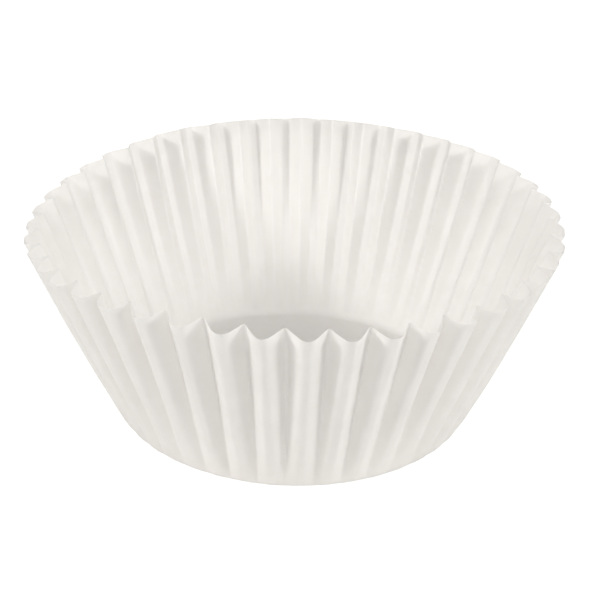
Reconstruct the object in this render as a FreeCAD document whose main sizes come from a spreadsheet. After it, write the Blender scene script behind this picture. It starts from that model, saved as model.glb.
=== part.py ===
# Fluted paper cupcake liner: a flat disc of greaseproof paper pressed into an open cup.
# The floor is a smooth disc with a rounded corner. The wall leans out and is folded into
# forty-four flutes. Each flute is a lobe that spans its whole share of the wall at the foot
# and narrows to a slim face at the rim, with a V-shaped groove beside it: two flat
# three-cornered flanks that meet in a crease. The grooves begin as points just above the
# corner and are deepest at the rim. The rim is the disc's own edge, so every fold is equally
# long and the crease tips stand a little above the lobes.
# Millimetres. Origin in the middle of the floor's underside, +Z up, one crease towards -Y.
import FreeCAD, Part
import os
from math import pi, radians, sqrt

import Sketcher

V = FreeCAD.Vector

os.makedirs("parts", exist_ok=True)
doc = FreeCAD.newDocument("cupcake_liner")

# Driving sizes
sizes = doc.addObject("Spreadsheet::Sheet", "Sizes")
SIZE_ROWS = [
    ("base_diameter", 50.8, "floor, to where the floor and wall planes would meet"),
    ("rim_diameter", 74.8, "across the lobes at the rim"),
    ("wall_slant", 30.8, "from where those planes meet to the rim, along any fold"),
    ("flute_count", 44, "flutes round the wall"),
    ("flute_depth", 2.25, "from lobe to crease at the rim, along the radius"),
    ("lobe_width", 1.5, "width of a lobe at the rim"),
    ("corner_radius", 1.5, "outside of the bend between floor and wall"),
    ("foot_rise", 0.7, "plain band of wall between the bend and the grooves' points"),
    ("paper_thickness", 0.06, "greaseproof baking paper"),
]
for row, (alias, size, meaning) in enumerate(SIZE_ROWS, start=1):
    sizes.set(f"A{row}", alias)
    sizes.set(f"B{row}", str(size))
    sizes.set(f"C{row}", meaning)
    sizes.setAlias(f"B{row}", alias)
doc.recompute()

# The forms are first made this much too tall, and cuts reach this far past them
ALLOWANCE = 1.0
# Groove cutters reach out to this many times the width and depth of a groove at the rim
CUTTER_REACH = 1.3

# Sizes that follow from the driving ones, written as expressions for the document
BASE_R = "(Sizes.base_diameter / 2)"
LOBE_R = "(Sizes.rim_diameter / 2)"
CREASE_R = f"({LOBE_R} - Sizes.flute_depth)"
LOBE_Z = f"sqrt(Sizes.wall_slant ^ 2 - ({LOBE_R} - {BASE_R}) ^ 2)"
CREASE_Z = f"sqrt(Sizes.wall_slant ^ 2 - ({CREASE_R} - {BASE_R}) ^ 2)"
# The lobes' lean from upright, which the bend runs into without a kink
LEAN = f"asin(({LOBE_R} - {BASE_R}) / Sizes.wall_slant)"
BEND_CENTRE_R = f"({BASE_R} - Sizes.corner_radius * tan((90 deg - {LEAN}) / 2))"
# The point on the outside where a groove begins
BEND_TOP_Z = f"(Sizes.corner_radius * (1 - sin({LEAN})))"
FOOT_Z = f"({BEND_TOP_Z} + Sizes.foot_rise * cos({LEAN}))"
FOOT_R = f"({BASE_R} + {FOOT_Z} * tan({LEAN}))"
# How a groove opens on the level of the lobes' rim, from its crease to a lobe's edge
CREASE_RUN = f"(({CREASE_R} - {FOOT_R}) / ({CREASE_Z} - {FOOT_Z}))"
CREASE_AT_LOBE_R = f"({FOOT_R} + {CREASE_RUN} * ({LOBE_Z} - {FOOT_Z}))"
EDGE_ANGLE = f"(180 deg / Sizes.flute_count - asin(Sizes.lobe_width / Sizes.rim_diameter))"
OPEN_X = f"({LOBE_R} * cos({EDGE_ANGLE}) - {CREASE_AT_LOBE_R})"
OPEN_Y = f"({LOBE_R} * sin({EDGE_ANGLE}))"
# How far the crease's inside lies inward of its outside when the flanks are one paper thick
OPEN_SINE = f"({OPEN_Y} / sqrt({OPEN_X} ^ 2 + {OPEN_Y} ^ 2))"
CREASE_SHIFT = (
    f"(Sizes.paper_thickness * sqrt(1 + ({OPEN_SINE} * {CREASE_RUN}) ^ 2) / {OPEN_SINE})"
)
OUTSIDE_TOP_Z = f"({CREASE_Z} + {ALLOWANCE})"
INSIDE_TOP_Z = f"({OUTSIDE_TOP_Z} + {ALLOWANCE})"
# Reach of the cut along the disc's edge, to either side of the folds
EDGE_IN_R = f"({CREASE_R} - Sizes.flute_depth)"
EDGE_OUT_R = f"({LOBE_R} + Sizes.flute_depth)"

# Point codes and axes of the sketcher
START, END, CENTRE = 1, 2, 3
X_AXIS = -1
ORIGIN = (-1, 1)


def value_of(expression):
    """Present value of an expression, for placing sketch geometry near its final place."""
    result = sizes.evalExpression(expression)
    return float(getattr(result, "Value", result))


def origin_feature(body, role):
    """One of the body's own origin planes or axes, such as XY_Plane or Z_Axis."""
    for feature in body.Origin.OriginFeatures:
        if feature.Role == role:
            return feature
    raise ValueError(f"no {role} in the origin")


def new_sketch(body, name, plane):
    sketch = body.newObject("Sketcher::SketchObject", name)
    sketch.AttachmentSupport = (origin_feature(body, plane), [""])
    sketch.MapMode = "FlatFace"
    return sketch


def line(sketch, p, q):
    return sketch.addGeometry(Part.LineSegment(p, q))


def bind(sketch, kind, where, expression):
    """Adds a dimension to a sketch and ties it to the sheet."""
    index = sketch.addConstraint(Sketcher.Constraint(kind, *where, value_of(expression)))
    sketch.setExpression(f"Constraints[{index}]", expression)


def place(sketch, edge, point, x, y):
    """Ties one end of an edge to a place given by two expressions."""
    bind(sketch, "DistanceX", (*ORIGIN, edge, point), x)
    bind(sketch, "DistanceY", (*ORIGIN, edge, point), y)


def join(sketch, chain):
    """Closes a chain of edges end to end, each running on from the one before."""
    for edge, following in zip(chain, chain[1:] + chain[:1]):
        sketch.addConstraint(Sketcher.Constraint("Coincident", edge, END, following, START))


def draw_envelope(sketch, inset, top_z):
    """Half a section through floor, bend and plain wall, standing on the axis."""
    top_r = f"({BASE_R} + {top_z} * tan({LEAN}) - {inset} / cos({LEAN}))"
    bend_z = f"(Sizes.corner_radius - (Sizes.corner_radius - {inset}) * sin({LEAN}))"
    centre = V(value_of(BEND_CENTRE_R), value_of("Sizes.corner_radius"), 0)
    floor_z, top = value_of(inset), V(value_of(top_r), value_of(top_z), 0)
    circle = Part.Circle(centre, V(0, 0, 1), centre.y - floor_z)
    lean = radians(value_of(LEAN))

    floor = line(sketch, V(0, floor_z, 0), V(centre.x, floor_z, 0))
    bend = sketch.addGeometry(Part.ArcOfCircle(circle, -pi / 2, -lean))
    wall = line(sketch, circle.value(-lean), top)
    roof = line(sketch, top, V(0, top.y, 0))
    on_axis = line(sketch, V(0, top.y, 0), V(0, floor_z, 0))
    join(sketch, [floor, bend, wall, roof, on_axis])
    sketch.addConstraint(Sketcher.Constraint("Horizontal", floor))
    sketch.addConstraint(Sketcher.Constraint("Horizontal", roof))
    sketch.addConstraint(Sketcher.Constraint("Vertical", on_axis))
    place(sketch, bend, CENTRE, BEND_CENTRE_R, "Sizes.corner_radius")
    bind(sketch, "DistanceY", (*ORIGIN, bend, END), bend_z)
    place(sketch, wall, END, top_r, top_z)
    place(sketch, floor, END, BEND_CENTRE_R, inset)
    bind(sketch, "DistanceX", (*ORIGIN, on_axis, END), "0")


def draw_crease(sketch, shift, top_z):
    """The line of one crease, from beside its point near the foot to the top."""
    foot_r = f"({FOOT_R} - {shift})"
    top_r = f"({foot_r} + {CREASE_RUN} * ({top_z} - {FOOT_Z}))"
    foot = V(value_of(foot_r), value_of(FOOT_Z), 0)
    crease = line(sketch, foot, V(value_of(top_r), value_of(top_z), 0))
    place(sketch, crease, START, foot_r, FOOT_Z)
    place(sketch, crease, END, top_r, top_z)


def draw_groove(sketch, shift, top_z):
    """One groove seen from above: its crease and both flanks, run on past the lobes."""
    crease_r = f"({FOOT_R} - {shift} + {CREASE_RUN} * ({top_z} - {FOOT_Z}))"
    outer_x = f"({crease_r} + {OPEN_X} * {CUTTER_REACH})"
    outer_y = f"({OPEN_Y} * {CUTTER_REACH})"
    r, x, y = (value_of(e) for e in (crease_r, outer_x, outer_y))
    corners = [V(r, 0, 0), V(x, -y, 0), V(x, y, 0)]
    sides = [line(sketch, p, q) for p, q in zip(corners, corners[1:] + corners[:1])]
    join(sketch, sides)
    sketch.addConstraint(Sketcher.Constraint("PointOnObject", sides[0], START, X_AXIS))
    bind(sketch, "DistanceX", (*ORIGIN, sides[0], START), crease_r)
    place(sketch, sides[1], END, outer_x, outer_y)
    ends = (sides[1], START, sides[1], END)
    sketch.addConstraint(Sketcher.Constraint("Symmetric", *ends, X_AXIS))


def draw_disc_edge(sketch):
    """What is cut away above the arc on which the edge of the pressed disc lies."""
    base_r, slant, inside, outside, roof = (
        value_of(e) for e in (BASE_R, "Sizes.wall_slant", EDGE_IN_R, EDGE_OUT_R, INSIDE_TOP_Z)
    )

    def on_edge(radius):
        return V(radius, sqrt(slant**2 - (radius - base_r) ** 2), 0)

    circle = Part.Circle(V(base_r, 0, 0), V(0, 0, 1), slant)
    ends = (on_edge(outside), on_edge(inside))
    arc = sketch.addGeometry(Part.ArcOfCircle(circle, *(circle.parameter(p) for p in ends)))
    corners = [ends[1], V(inside, roof, 0), V(outside, roof, 0), ends[0]]
    sides = [line(sketch, p, q) for p, q in zip(corners, corners[1:])]
    join(sketch, [arc, *sides])
    sketch.addConstraint(Sketcher.Constraint("Vertical", sides[0]))
    sketch.addConstraint(Sketcher.Constraint("Horizontal", sides[1]))
    sketch.addConstraint(Sketcher.Constraint("Vertical", sides[2]))
    sketch.addConstraint(Sketcher.Constraint("PointOnObject", arc, CENTRE, X_AXIS))
    bind(sketch, "DistanceX", (*ORIGIN, arc, CENTRE), BASE_R)
    bind(sketch, "Radius", (arc,), "Sizes.wall_slant")
    bind(sketch, "DistanceX", (*ORIGIN, arc, END), EDGE_IN_R)
    bind(sketch, "DistanceX", (*ORIGIN, arc, START), EDGE_OUT_R)
    bind(sketch, "DistanceY", (*ORIGIN, sides[1], START), INSIDE_TOP_Z)


def turned(body, kind, name, sketch):
    """A revolution or groove: the sketch turned once round the axis."""
    feature = body.newObject(kind, name)
    feature.Profile = sketch
    feature.ReferenceAxis = (sketch, ["V_Axis"])
    feature.Angle = 360
    return feature


def make_form(body, side, inset, shift, top_z):
    """A full fluted form with one surface of the paper as its outside."""
    section = new_sketch(body, f"{side}Section", "XZ_Plane")
    draw_envelope(section, inset, top_z)
    turned(body, "PartDesign::Revolution", f"{side}Envelope", section)

    crease = new_sketch(body, f"{side}Crease", "XZ_Plane")
    draw_crease(crease, shift, top_z)
    opening = new_sketch(body, f"{side}Opening", "XY_Plane")
    opening.setExpression("AttachmentOffset.Base.z", top_z)
    draw_groove(opening, shift, top_z)
    doc.recompute()

    groove = body.newObject("PartDesign::Pocket", f"{side}Groove")
    groove.Profile = opening
    groove.AlongSketchNormal = False
    groove.ReferenceAxis = (crease, ["Edge1"])
    groove.setExpression("Length", f"({top_z} - {FOOT_Z}) * sqrt(1 + {CREASE_RUN} ^ 2)")

    flutes = body.newObject("PartDesign::PolarPattern", f"{side}Flutes")
    flutes.Originals = [groove]
    flutes.Axis = (origin_feature(body, "Z_Axis"), [""])
    flutes.Angle = 360
    flutes.setExpression("Occurrences", "Sizes.flute_count")
    body.Tip = flutes
    doc.recompute()
    return flutes


# The paper lies between an outside form and an inside form one thickness smaller
liner = doc.addObject("PartDesign::Body", "Liner")
liner.Label = "liner"
solid_form = make_form(liner, "Outside", "0", "0", OUTSIDE_TOP_Z)
hollow = doc.addObject("PartDesign::Body", "Hollow")
make_form(hollow, "Inside", "Sizes.paper_thickness", CREASE_SHIFT, INSIDE_TOP_Z)
paper = liner.newObject("PartDesign::Boolean", "Paper")
paper.setObjects([hollow])
paper.Type = "Cut"
liner.Tip = paper
doc.recompute()

# The rim is the edge of the disc
disc_edge = new_sketch(liner, "DiscEdge", "XZ_Plane")
draw_disc_edge(disc_edge)
rim = turned(liner, "PartDesign::Groove", "Rim", disc_edge)
liner.Tip = rim

# Turned so that the crease drawn along X faces the front
liner.Placement = FreeCAD.Placement(V(0, 0, 0), FreeCAD.Rotation(V(0, 0, 1), -90))
doc.recompute()

# Nothing is written unless every feature is sound and both cuts really took material away
for feature in doc.Objects:
    if "Invalid" in feature.State or "Error" in feature.State:
        raise ValueError(f"{feature.Name}: {feature.State}")
if not rim.Shape.Volume < paper.Shape.Volume < solid_form.Shape.Volume:
    raise ValueError("the hollow or the rim was not cut")
shape = liner.Shape
if shape.isNull() or not shape.isValid() or len(shape.Solids) != 1:
    raise ValueError("the liner is not one sound solid")
shape.exportStep(f"parts/{liner.Label}.step")
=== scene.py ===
# Fluted cupcake liner of white greaseproof paper, standing on a plain pale studio floor.
import random
from math import asin, cos, pi, radians, sin, sqrt, tan

import bpy
from bpy.props import FloatProperty, IntProperty, PointerProperty
from mathutils import Matrix, Vector, noise


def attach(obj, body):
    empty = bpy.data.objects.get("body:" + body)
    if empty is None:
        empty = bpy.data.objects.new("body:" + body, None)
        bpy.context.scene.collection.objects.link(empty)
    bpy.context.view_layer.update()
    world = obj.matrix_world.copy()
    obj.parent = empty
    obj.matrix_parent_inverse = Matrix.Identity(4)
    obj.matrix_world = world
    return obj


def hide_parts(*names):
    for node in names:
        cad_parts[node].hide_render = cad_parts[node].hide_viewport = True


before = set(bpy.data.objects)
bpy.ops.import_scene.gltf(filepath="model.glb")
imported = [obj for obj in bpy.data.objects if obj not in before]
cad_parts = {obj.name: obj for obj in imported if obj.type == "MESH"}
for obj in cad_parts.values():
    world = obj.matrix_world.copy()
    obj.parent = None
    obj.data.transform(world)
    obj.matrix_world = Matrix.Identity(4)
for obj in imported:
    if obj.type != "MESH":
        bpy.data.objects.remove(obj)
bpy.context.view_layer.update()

bl_info = {
    "name": "Cupcake Liner",
    "version": (1, 0, 0),
    "blender": (4, 5, 0),
    "location": "3D View > Sidebar > Liner",
    "description": "Presses a sheet of greaseproof paper into a fluted cupcake liner",
    "category": "Object",
}

MM = 0.001


def length(name, description, default, **limits):
    return FloatProperty(
        name=name, description=description, default=default, subtype="DISTANCE",
        unit="LENGTH", precision=5, **limits,
    )


class LinerSettings(bpy.types.PropertyGroup):
    """Sizes of the pressed sheet. The overall ones are those of the solid"""

    floor_diameter: length(
        "Floor diameter", "Across the floor, to where floor and wall planes meet", 50.8 * MM)
    rim_diameter: length("Rim diameter", "Across the lobes at the rim", 74.8 * MM)
    wall_slant: length("Wall slant", "From the foot to the rim along any fold", 30.8 * MM)
    corner_radius: length("Corner radius", "Bend between floor and wall", 1.5 * MM)
    paper_thickness: length("Paper thickness", "Thickness of the sheet", 0.06 * MM)
    flute_count: IntProperty(
        name="Flutes", description="Flutes round the wall", default=44, min=8)
    flute_depth: length("Flute depth", "From lobe to crease at the rim", 2.25 * MM)
    foot_depth: length("Foot depth", "Depth of the ripple at the foot", 0.16 * MM)
    depth_growth: FloatProperty(
        name="Depth growth", description="1 if folds deepen evenly up the wall, less if sooner",
        default=0.7, min=0.3, max=1.0)
    lobe_share_rim: FloatProperty(
        name="Lobe share at rim", description="Part of a flute that its lobe takes at the rim",
        default=0.22, min=0.0, max=0.9)
    side_share_rim: FloatProperty(
        name="Side share at rim", description="The same at the left and right sides",
        default=0.50, min=0.0, max=0.9)
    lobe_share_foot: FloatProperty(
        name="Lobe share at foot", description="Part of a flute that its lobe takes at the foot",
        default=0.30, min=0.0, max=0.9)
    lobe_round: FloatProperty(
        name="Lobe round", description="Part of a flank that rounds into its lobe in front",
        default=0.27, min=0.01, max=0.9)
    side_round: FloatProperty(
        name="Side round", description="The same at the left and right sides",
        default=0.45, min=0.01, max=0.9)
    back_round: FloatProperty(
        name="Back round", description="The same at the back", default=0.09, min=0.01, max=0.9)
    crease_round: FloatProperty(
        name="Crease round", description="Part of a flank over which it rounds at the crease",
        default=0.15, min=0.01, max=0.5)
    seed: IntProperty(name="Seed", description="Choice of the small unevenness", default=11)


class StageSettings(bpy.types.PropertyGroup):
    """Camera, floor and studio light"""

    camera_distance: length("Camera distance", "From the camera to the object", 223.65 * MM)
    camera_elevation: FloatProperty(
        name="Camera elevation", description="Height angle of the camera",
        default=radians(27.12), subtype="ANGLE")
    camera_azimuth: FloatProperty(
        name="Camera azimuth", description="Camera's turn from the front towards the right",
        default=0.024, subtype="ANGLE")
    camera_roll: FloatProperty(
        name="Camera roll", description="Camera's turn about its own view", default=0.0279,
        subtype="ANGLE")
    lens: FloatProperty(name="Lens", description="Focal length in mm", default=93.6)
    world_strength: FloatProperty(
        name="Room light", description="Light that the white room adds to the lamps'",
        default=0.0)


def linear(hex_colour):
    """Linear RGBA of an sRGB hex colour."""
    channels = (int(hex_colour[i:i + 2], 16) / 255 for i in (1, 3, 5))
    flat = [c / 12.92 if c <= 0.04045 else ((c + 0.055) / 1.055) ** 2.4 for c in channels]
    return (*flat, 1.0)


def node(tree, kind, settings=None, **links):
    """Adds a shader node. Settings fill its fields and sockets, links join its sockets."""
    made = tree.nodes.new(kind)
    for key, value in (settings or {}).items():
        if isinstance(key, str) and hasattr(made, key):
            setattr(made, key, value)
        else:
            made.inputs[key].default_value = value
    for key, source in links.items():
        tree.links.new(source, made.inputs[key.replace("_", " ")])
    return made


def mixed(tree, share, first, second):
    """Output of a mix of two shaders, with its share of the second."""
    mix = node(tree, "ShaderNodeMixShader", {}, Fac=share)
    tree.links.new(first, mix.inputs[1])
    tree.links.new(second, mix.inputs[2])
    return mix.outputs["Shader"]


# The pressed sheet

# How the rim of this liner strays from a level circle. Waves go once, twice, three and four
# times round, each as a cosine and a sine of the azimuth from the front towards the right.
# Height of the rim in mm: how much lower it stands as a whole, and its waves
RIM_DROP = -0.20
RIM_HEIGHT = ((-0.233, 0.795), (0.664, -0.187), (0.132, -0.330), (-0.051, -0.008))
# Waves of its radius, as shares of it, and of its turn about the upright axis, in radians
RIM_STRETCH = ((0.0, 0.0), (0.0020, 0.0013), (-0.0006, 0.0042))
RIM_TURN = ((-0.0046, 0.0066), (0.0071, -0.0005))
# How far the whole rim has moved to the right and to the back
RIM_SHIFT = (-0.15 * MM, -0.08 * MM)
# How far the wall bulges, and 1 if that is most halfway up, less if lower
BELLY = 0.33 * MM
BELLY_RISE = 0.7

# Spread of the small unevenness from flute to flute.
# In flutes: a fold's place, its sideways bow halfway up, a lobe's way out of the middle
PLACE_SPREAD = 0.018
BOW_SPREAD = 0.014
SKEW_SPREAD = 0.014
# As shares: a fold's depth, a lobe's width
DEPTH_SPREAD = 0.03
WIDTH_SPREAD = 0.07
# In mm at the rim: a fold's height, a lobe's way outwards
TIP_SPREAD = 0.07
PUSH_SPREAD = 0.05

# Soft cockles, upwards on the floor and outwards or inwards in the wall: size of the broad
# ones, how much finer the small ones are, the heights of both in mm, and how high above the
# floor they lie wholly in the wall
COCKLE_SIZE = 7 * MM
COCKLE_FINER = 3.1
COCKLE_HEIGHT = 0.05
FINE_COCKLE_HEIGHT = 0.02
COCKLE_FULL = 2 * MM

# Azimuths away from the front, to either side, over which lobes take on another form: where
# the front ones start to change and how far on they are like those at the sides, and the
# same from the sides to the back
FRONT_END = radians(6)
FRONT_TO_SIDE = radians(42)
SIDE_END = radians(95)
SIDE_TO_BACK = radians(60)


def smooth_step(x):
    """Rises from 0 to 1 as x does, and runs level at both ends."""
    x = min(1.0, max(0.0, x))
    return x * x * (3 - 2 * x)


def swell(parts, t):
    """Sum of waves round the rim at azimuth t."""
    return sum(c * cos(n * t) + s * sin(n * t) for n, (c, s) in enumerate(parts, 1))


def blend(t, front, side, back):
    """A value that changes with azimuth t from the front over both sides to the back."""
    away = abs((t + pi) % (2 * pi) - pi)
    ahead = front + (side - front) * smooth_step((away - FRONT_END) / FRONT_TO_SIDE)
    return ahead + (back - ahead) * smooth_step((away - SIDE_END) / SIDE_TO_BACK)


def arch(w, rounding):
    """A flank that rounds into its lobe.

    w falls evenly from 1 on a crease over 0 at the lobe's edge to less in its middle. The
    result follows it down the flank and bends to a level 0 in a curve of this half width.
    """
    if w <= -rounding:
        return 0.0
    return w if w >= rounding else (w + rounding) ** 2 / (4 * rounding)


class Pleating:
    """Where the folds of one liner run, with the unevenness of a real pressing."""

    def __init__(self, s):
        rng = random.Random(s.seed)
        self.s = s
        n = s.flute_count
        self.base_r = s.floor_diameter / 2
        self.lobe_r = s.rim_diameter / 2
        self.crease_r = self.lobe_r - s.flute_depth
        self.lobe_z = sqrt(s.wall_slant**2 - (self.lobe_r - self.base_r) ** 2)
        self.crease_z = sqrt(s.wall_slant**2 - (self.crease_r - self.base_r) ** 2)
        self.lean = asin((self.lobe_r - self.base_r) / s.wall_slant)
        self.bend_r = self.base_r - s.corner_radius * tan((pi / 2 - self.lean) / 2)
        self.foot_r = self.bend_r + s.corner_radius * cos(self.lean)
        self.foot_z = s.corner_radius * (1 - sin(self.lean))
        pitch = 2 * pi / n
        self.azimuth = [(k + rng.gauss(0, PLACE_SPREAD)) * pitch for k in range(n)]
        self.depth = [1 + rng.gauss(0, DEPTH_SPREAD) for _ in range(n)]
        self.bow = [rng.gauss(0, BOW_SPREAD) * pitch for _ in range(n)]
        self.tip = [rng.gauss(0, TIP_SPREAD) * MM for _ in range(n)]
        self.width = [1 + rng.gauss(0, WIDTH_SPREAD) for _ in range(n)]
        self.skew = [rng.gauss(0, SKEW_SPREAD) for _ in range(n)]
        self.push = [rng.gauss(0, PUSH_SPREAD) * MM for _ in range(n)]
        middles = [(k + 0.5) * pitch for k in range(n)]
        self.rounding = [
            blend(t, s.lobe_round, s.side_round, s.back_round) for t in middles]
        self.share_rim = [
            blend(t, s.lobe_share_rim, s.side_share_rim, s.lobe_share_rim) for t in middles]

    def fold_azimuth(self, k, f):
        """Azimuth of fold k at share f up the wall."""
        n = self.s.flute_count
        turn = 2 * pi * (k // n)
        return turn + self.azimuth[k % n] + self.bow[k % n] * 4 * f * (1 - f)

    def across(self, k, q, f):
        """Place across flute k and nearness to a crease, at share f up the wall.

        q runs from 0 on a crease over 1 at the lobe's edge to 2 in its middle, and on to 4
        on the next crease. The place is a share of the flute, the nearness 1 on a crease.
        """
        s = self.s
        near = min(q, 4 - q)
        share = s.lobe_share_foot + (self.share_rim[k] - s.lobe_share_foot) * f
        run = 0.5 - share * self.width[k] / 2
        d = run * near if near < 1 else run + (0.5 - run) * (near - 1)
        top = arch(1 - 0.5 / run, self.rounding[k])
        w = (arch(1 - d / run, self.rounding[k]) - top) / (1 - top)
        away = 1 - w
        if away < s.crease_round:
            w = 1 - (away**2 / s.crease_round + s.crease_round) / 2
        centre = 0.5 + self.skew[k] * f
        u = 2 * d * centre if q < 2 else 1 - 2 * d * (1 - centre)
        return u, w

    def wall_point(self, k, q, f):
        """A point of the sheet's middle: flute k, place q across it, share f up the wall."""
        s = self.s
        u, w = self.across(k, q, f)
        t0, t1 = self.fold_azimuth(k, f), self.fold_azimuth(k + 1, f)
        fold = k if q < 2 else (k + 1) % s.flute_count
        lobe_r = self.foot_r + (self.lobe_r - self.foot_r) * f + self.push[k] * f * (1 - w)
        lobe_z = self.foot_z + (self.lobe_z - self.foot_z) * f
        full = s.flute_depth * self.depth[fold]
        depth = s.foot_depth + (full - s.foot_depth) * f**s.depth_growth
        crease_r = self.foot_r + (self.lobe_r - self.foot_r) * f - depth
        crease_z = self.foot_z + (self.crease_z - self.foot_z + self.tip[fold]) * f
        r = lobe_r + (crease_r - lobe_r) * w
        z = lobe_z + (crease_z - lobe_z) * w
        return self.settle(t0 + (t1 - t0) * u, r, z, f)

    def bend_point(self, k, q, share):
        """A point of the bend between floor and wall, from 0 at the floor to 1 at the wall."""
        s = self.s
        u, w = self.across(k, q, 0)
        t0, t1 = self.fold_azimuth(k, 0), self.fold_azimuth(k + 1, 0)
        angle = -pi / 2 + (pi / 2 - self.lean) * share
        ripple = s.foot_depth * smooth_step(share) * w
        r = self.bend_r + s.corner_radius * cos(angle) - ripple
        z = s.corner_radius * (1 + sin(angle))
        return self.settle(t0 + (t1 - t0) * u, r, z, 0)

    def floor_point(self, k, q, share):
        """A point of the flat floor, from 0 in the middle to 1 where the bend starts."""
        u, _ = self.across(k, q, 0)
        t0, t1 = self.fold_azimuth(k, 0), self.fold_azimuth(k + 1, 0)
        return self.settle(t0 + (t1 - t0) * u, self.bend_r * share, 0.0, 0)

    def settle(self, t, r, z, f):
        """Adds the slack of the whole sheet: a wavy rim, a slight bulge and soft cockles.

        The sheet's middle lies half its thickness above the floor, and no cockle sinks below.
        """
        z += f * (RIM_DROP + swell(RIM_HEIGHT, t)) * MM
        r *= 1 + f * swell(RIM_STRETCH, t)
        r += BELLY * sin(pi * f**BELLY_RISE)
        place = Vector((r * sin(t), -r * cos(t), z)) / COCKLE_SIZE
        broad = noise.noise(place) * COCKLE_HEIGHT * MM
        fine = noise.noise(place * COCKLE_FINER) * FINE_COCKLE_HEIGHT * MM
        cockle = broad + fine
        wall = smooth_step(z / COCKLE_FULL)
        r += cockle * wall
        z += max(0.0, abs(cockle) * (1 - wall)) + self.s.paper_thickness / 2
        t += f * swell(RIM_TURN, t)
        shift_x, shift_y = RIM_SHIFT
        return Vector((r * sin(t) + shift_x * f, -r * cos(t) + shift_y * f, z))


# Columns of the mesh from a crease to the middle of the lobe, as values of q in across(),
# closest where the sheet turns most
HALF_FLUTE = (
    0.0, 0.05, 0.10, 0.16, 0.3, 0.45, 0.58, 0.7, 0.8, 0.88, 0.95, 1.02, 1.2, 1.4, 1.65, 2.0)
# Rings of the mesh on the floor, as shares of the way from its middle to the bend
FLOOR_RINGS = (0.12, 0.3, 0.5, 0.7, 0.85, 0.95)
BEND_ROWS = 7
WALL_ROWS = 34


def pressed_sheet(name, s):
    """The sheet as one grid of rings, from the middle of the floor to the rim."""
    pleating = Pleating(s)
    places = list(HALF_FLUTE) + [4 - q for q in reversed(HALF_FLUTE[1:-1])]
    columns = [(k, q) for k in range(s.flute_count) for q in places]
    rings = [[pleating.floor_point(k, q, share) for k, q in columns] for share in FLOOR_RINGS]
    for row in range(BEND_ROWS):
        rings.append([pleating.bend_point(k, q, row / BEND_ROWS) for k, q in columns])
    for row in range(WALL_ROWS + 1):
        rings.append([pleating.wall_point(k, q, row / WALL_ROWS) for k, q in columns])
    points = [Vector((0, 0, s.paper_thickness / 2))]
    for ring in rings:
        points.extend(ring)
    count = len(columns)
    faces = [(0, 1 + i, 1 + (i + 1) % count) for i in range(count)]
    for row in range(len(rings) - 1):
        low, high = 1 + row * count, 1 + (row + 1) * count
        for i in range(count):
            j = (i + 1) % count
            faces.append((low + i, high + i, high + j, low + j))
    mesh = bpy.data.meshes.new(name)
    mesh.from_pydata(points, [], faces)
    mesh.polygons.foreach_set("use_smooth", [True] * len(mesh.polygons))
    mesh.update()
    return mesh


# Materials
def greaseproof_paper():
    """White greaseproof baking paper: well-beaten wood pulp pressed dense and left uncoated.

    It looks matt and faintly warm, with a soft cloudy look-through, and lets light pass.
    """
    material = bpy.data.materials.new("greaseproof paper")
    material.use_nodes = True
    tree = material.node_tree
    tree.nodes.clear()
    place = node(tree, "ShaderNodeTexCoord").outputs["Object"]
    clouds = node(
        tree, "ShaderNodeTexNoise",
        {"Scale": 420.0, "Detail": 3.0, "Roughness": 0.6}, Vector=place)
    tint = node(
        tree, "ShaderNodeMix",
        {"data_type": "RGBA", 6: linear("#f7f5f2"), 7: linear("#f2efeb")},
        Factor=clouds.outputs["Fac"])
    fibres = node(
        tree, "ShaderNodeTexNoise",
        {"Scale": 2600.0, "Detail": 2.0, "Roughness": 0.7}, Vector=place)
    bump = node(
        tree, "ShaderNodeBump", {"Strength": 0.25, "Distance": 0.04 * MM},
        Height=fibres.outputs["Fac"])
    surface = node(
        tree, "ShaderNodeBsdfPrincipled",
        {"Roughness": 0.62, "IOR": 1.45, "Specular IOR Level": 0.25},
        Base_Color=tint.outputs[2], Normal=bump.outputs["Normal"])
    through = node(
        tree, "ShaderNodeBsdfTranslucent", {},
        Color=tint.outputs[2], Normal=bump.outputs["Normal"])
    passing = node(
        tree, "ShaderNodeMapRange",
        {"From Min": 0.3, "From Max": 0.7, "To Min": 0.17, "To Max": 0.23},
        Value=clouds.outputs["Fac"])
    sheet = mixed(
        tree, passing.outputs["Result"], surface.outputs["BSDF"], through.outputs["BSDF"])
    node(tree, "ShaderNodeOutputMaterial", {}, Surface=sheet)
    return material


def sees_background(tree):
    """1 for rays that show the plain background: from the camera, or by mirror or clear glass.

    Light that paper scatters through itself is left out, so the background doesn't light it.
    """
    path = node(tree, "ShaderNodeLightPath")
    clear = node(tree, "ShaderNodeMath", {"operation": "SUBTRACT", "use_clamp": True})
    tree.links.new(path.outputs["Is Transmission Ray"], clear.inputs[0])
    tree.links.new(path.outputs["Is Diffuse Ray"], clear.inputs[1])
    seen = path.outputs["Is Camera Ray"]
    for other in (path.outputs["Is Glossy Ray"], clear.outputs["Value"]):
        both = node(tree, "ShaderNodeMath", {"operation": "MAXIMUM"})
        tree.links.new(seen, both.inputs[0])
        tree.links.new(other, both.inputs[1])
        seen = both.outputs["Value"]
    return seen


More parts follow.
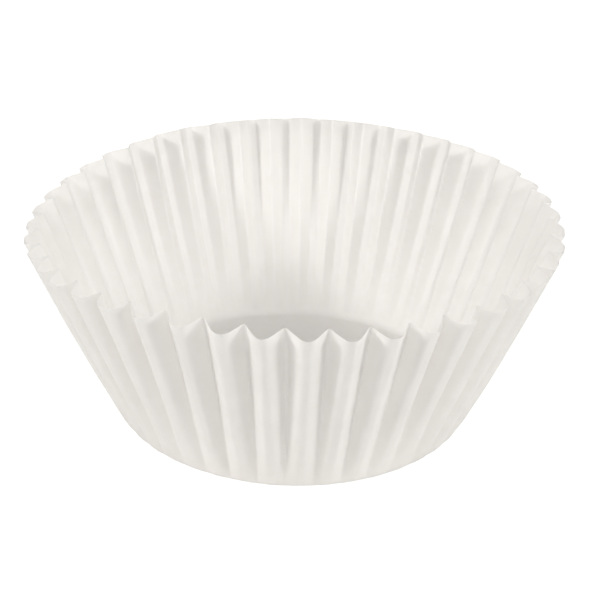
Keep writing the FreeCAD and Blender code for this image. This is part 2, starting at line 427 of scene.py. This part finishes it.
def pale_floor():
    """Seamless white paper floor, which the camera sees as plain white round the shadow.

    Far from the lamps it is seen a little brighter, so that it meets the room in one white.
    """
    material = bpy.data.materials.new("pale floor")
    material.use_nodes = True
    tree = material.node_tree
    tree.nodes.clear()
    place = node(tree, "ShaderNodeTexCoord").outputs["Object"]
    grain = node(tree, "ShaderNodeTexNoise", {"Scale": 900.0, "Detail": 3.0}, Vector=place)
    tint = node(
        tree, "ShaderNodeMix",
        {"data_type": "RGBA", 6: linear("#f3f2f0"), 7: linear("#efeeec")},
        Factor=grain.outputs["Fac"])
    matt = node(tree, "ShaderNodeBsdfDiffuse", {}, Color=tint.outputs[2])
    shaded = node(tree, "ShaderNodeBsdfDiffuse", {"Color": linear("#b8b7b5")})
    away = node(tree, "ShaderNodeVectorMath", {"operation": "LENGTH"}, Vector=place)
    glow = node(
        tree, "ShaderNodeMapRange",
        {"From Min": 0.25, "From Max": 0.8, "To Min": 0.80, "To Max": 1.0},
        Value=away.outputs["Value"])
    white = node(
        tree, "ShaderNodeEmission", {"Color": linear("#ffffff")}, Strength=glow.outputs["Result"])
    seen = node(tree, "ShaderNodeAddShader")
    tree.links.new(shaded.outputs["BSDF"], seen.inputs[0])
    tree.links.new(white.outputs["Emission"], seen.inputs[1])
    surface = mixed(
        tree, sees_background(tree), matt.outputs["BSDF"], seen.outputs["Shader"])
    node(tree, "ShaderNodeOutputMaterial", {}, Surface=surface)
    return material


def white_room(room_light):
    """A room that is plain white to look at, and lights the paper only by its room light."""
    world = bpy.data.worlds.new("white room")
    world.use_nodes = True
    tree = world.node_tree
    tree.nodes.clear()
    light = node(tree, "ShaderNodeBackground", {"Strength": room_light})
    light.inputs["Color"].default_value = linear("#ffffff")
    backdrop = node(tree, "ShaderNodeBackground", {"Strength": 1.0})
    backdrop.inputs["Color"].default_value = linear("#ffffff")
    surface = mixed(
        tree, sees_background(tree), light.outputs["Background"], backdrop.outputs["Background"])
    node(tree, "ShaderNodeOutputWorld", {}, Surface=surface)
    return world


def new_object(name, data):
    made = bpy.data.objects.new(name, data)
    bpy.context.scene.collection.objects.link(made)
    return made


class LINER_OT_add_sheet(bpy.types.Operator):
    """Adds the pressed and pleated sheet of paper"""

    bl_idname = "liner.add_sheet"
    bl_label = "Add Pressed Sheet"
    bl_options = {"REGISTER", "UNDO"}

    def execute(self, context):
        settings = context.scene.liner
        mesh = pressed_sheet("pressed_sheet", settings)
        mesh.materials.append(greaseproof_paper())
        sheet = new_object("pressed_sheet", mesh)
        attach(sheet, "root")
        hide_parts("liner")
        return {"FINISHED"}


# Stage
def add_lamp(name, size, power, place, target):
    data = bpy.data.lights.new(name, "AREA")
    data.shape = "DISK"
    data.size = size
    data.energy = power
    lamp = new_object(name, data)
    lamp.location = place
    lamp.rotation_euler = (target - place).to_track_quat("-Z", "Y").to_euler()


# Name, azimuth from the front and elevation in degrees, size in m, power in W
LAMPS = (
    ("left broad lamp", -62, 26, 0.3, 0.54),
    ("right broad lamp", 62, 26, 0.3, 0.55),
    ("left lamp", -62, 26, 0.1, 1.51),
    ("right lamp", 62, 26, 0.1, 1.03),
    ("left high lamp", -62, 42, 0.3, 0.45),
    ("right high lamp", 62, 42, 0.3, 0.56),
    ("right side lamp", 80, 22, 0.3, 0.56),
    ("front lamp", 0, 35, 0.4, 0.93),
    ("high front lamp", 0, 55, 0.4, 1.06),
    ("back lamp", 180, 15, 0.4, 1.45),
)
# All lamps hang this far, in m, from the point that they and the camera turn about
LAMP_DISTANCE = 0.7
# Height of that point above the floor
MIDDLE_HEIGHT = 14 * MM
# How far to the right and up of that point the camera looks
AIM_SHIFT = (0.775 * MM, 1.075 * MM)
# Width of the camera's film in mm
SENSOR_WIDTH = 36.0
# From the middle of the floor to its edges, in m
FLOOR_REACH = 3.0


def around(target, distance, azimuth, elevation):
    """A place round the target, at an azimuth from the front towards the right."""
    return target + distance * Vector((
        sin(azimuth) * cos(elevation), -cos(azimuth) * cos(elevation), sin(elevation)))


class LINER_OT_set_stage(bpy.types.Operator):
    """Sets the floor, the room light, the lamps and the camera"""

    bl_idname = "liner.set_stage"
    bl_label = "Set Stage"
    bl_options = {"REGISTER", "UNDO"}

    def execute(self, context):
        stage = context.scene.liner_stage
        edge = FLOOR_REACH
        corners = [(-edge, -edge, 0), (edge, -edge, 0), (edge, edge, 0), (-edge, edge, 0)]
        floor_mesh = bpy.data.meshes.new("floor")
        floor_mesh.from_pydata(corners, [], [(0, 1, 2, 3)])
        floor_mesh.materials.append(pale_floor())
        new_object("floor", floor_mesh)

        context.scene.world = white_room(stage.world_strength)

        target = Vector((0, 0, MIDDLE_HEIGHT))
        for name, azimuth, elevation, size, power in LAMPS:
            place = around(target, LAMP_DISTANCE, radians(azimuth), radians(elevation))
            add_lamp(name, size, power, place, target)

        data = bpy.data.cameras.new("camera")
        data.lens = stage.lens
        data.sensor_width = SENSOR_WIDTH
        camera = new_object("camera", data)
        eye = around(
            target, stage.camera_distance, stage.camera_azimuth, stage.camera_elevation)
        look = (target - eye).to_track_quat("-Z", "Y").to_matrix()
        aim = target + look @ Vector((*AIM_SHIFT, 0))
        look = (aim - eye).to_track_quat("-Z", "Y").to_matrix()
        turned = look @ Matrix.Rotation(stage.camera_roll, 3, "Z")
        camera.matrix_world = Matrix.Translation(eye) @ turned.to_4x4()
        context.scene.camera = camera
        context.scene.view_settings.view_transform = "Standard"
        return {"FINISHED"}


class LINER_PT_panel(bpy.types.Panel):
    """Sizes and buttons of the liner"""

    bl_label = "Cupcake Liner"
    bl_idname = "LINER_PT_panel"
    bl_space_type = "VIEW_3D"
    bl_region_type = "UI"
    bl_category = "Liner"

    def draw(self, context):
        layout = self.layout
        for settings in (context.scene.liner, context.scene.liner_stage):
            column = layout.column(align=True)
            for key in settings.bl_rna.properties.keys():
                if key not in {"rna_type", "name"}:
                    column.prop(settings, key)
        layout.operator("liner.add_sheet")
        layout.operator("liner.set_stage")


CLASSES = (
    LinerSettings,
    StageSettings,
    LINER_OT_add_sheet,
    LINER_OT_set_stage,
    LINER_PT_panel,
)


def register():
    for cls in CLASSES:
        bpy.utils.register_class(cls)
    bpy.types.Scene.liner = PointerProperty(type=LinerSettings)
    bpy.types.Scene.liner_stage = PointerProperty(type=StageSettings)


def unregister():
    del bpy.types.Scene.liner_stage
    del bpy.types.Scene.liner
    for cls in reversed(CLASSES):
        bpy.utils.unregister_class(cls)


def main():
    register()
    bpy.ops.liner.add_sheet()
    bpy.ops.liner.set_stage()


if __name__ == "__main__":
    main()
